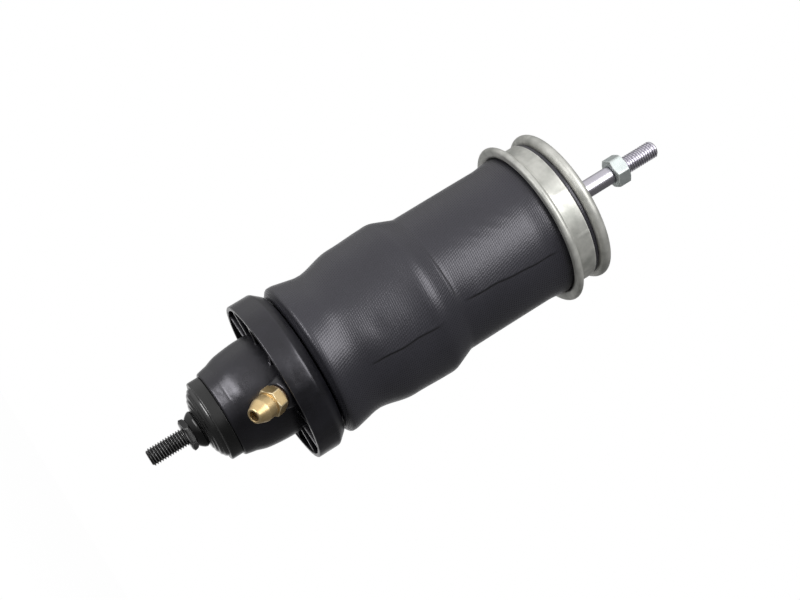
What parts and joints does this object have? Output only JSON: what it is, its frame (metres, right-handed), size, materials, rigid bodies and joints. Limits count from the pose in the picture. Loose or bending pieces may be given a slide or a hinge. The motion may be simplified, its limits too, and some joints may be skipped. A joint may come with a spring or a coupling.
{
  "type": "cab air shock absorber",
  "caption": "Cab air shock absorber: a twin-tube damper inside a folded rubber air sleeve, with a threaded stud at each end and an angled brass air fitting.",
  "frame": {"origin": "on the long axis, in the seat face of the lower stud's hexagon, where the free thread starts", "axes": "+Z along the long axis from the lower stud to the piston rod; -Y is the side with the air fitting, which the picture shows, 12 degrees from the fitting; +X completes a right-handed set"},
  "size_m": [0.0954, 0.0955, 0.3251],
  "materials": {
    "black_steel": "black phosphated and oiled steel",
    "plain_steel": "plain machined or pressed steel",
    "black_plastic": "glass-filled moulded plastic, satin black",
    "black_rubber": "plain black rubber",
    "sleeve_rubber": "black rubber with the weave of its cords showing",
    "brass": "machined brass",
    "copper_washer": "soft copper",
    "bronze": "sintered bronze with a dark running face",
    "zinc_steel": "zinc-plated pressed steel, faintly yellow",
    "chrome_steel": "ground and hard-chromed steel",
    "sintered_steel": "sintered iron",
    "spring_steel": "blued spring steel",
    "piston_ring_plastic": "bronze-filled low-friction plastic",
    "bump_foam": "microcellular foam"
  },
  "bodies": {
    "lower": {"lower_stud": "black_steel", "stud_collar": "black_steel", "bush_sleeve": "plain_steel", "lower_bush": "black_rubber", "bush_cap": "black_steel", "housing": "black_plastic", "air_fitting": "brass", "fitting_washer": "copper_washer", "housing_seal": "black_rubber", "lower_clamp_ring": "zinc_steel", "air_sleeve": "sleeve_rubber", "tube_base": "black_steel", "reservoir_tube": "black_steel", "pressure_tube": "plain_steel", "base_valve": "sintered_steel", "intake_disc": "spring_steel", "base_valve_bolt": "plain_steel", "rod_guide": "sintered_steel", "guide_bush": "bronze", "rod_seal": "black_rubber", "seal_cover": "plain_steel", "striker_cap": "zinc_steel"},
    "upper": {"piston_rod": "chrome_steel", "damper_piston": "sintered_steel", "piston_ring": "piston_ring_plastic", "compression_discs": "spring_steel", "rebound_discs": "spring_steel", "piston_nut": "plain_steel", "rebound_stop": "plain_steel", "rebound_buffer": "black_rubber", "bump_stop": "bump_foam", "plate_seat": "plain_steel", "rod_o_ring": "black_rubber", "end_plate": "zinc_steel", "spigot_ring": "zinc_steel", "clamp_band": "zinc_steel", "plate_washer": "zinc_steel", "snap_ring": "spring_steel", "upper_nut": "zinc_steel"}
  },
  "joints": [
    {"name": "strut_travel", "type": "slide", "parent": "lower", "child": "upper", "axis": [0, 0, 1], "range_m": [-0.06, 0], "stiffness_N_per_m": 1500, "springref_m": 0.03, "deforming": ["air_sleeve"]}
  ]
}
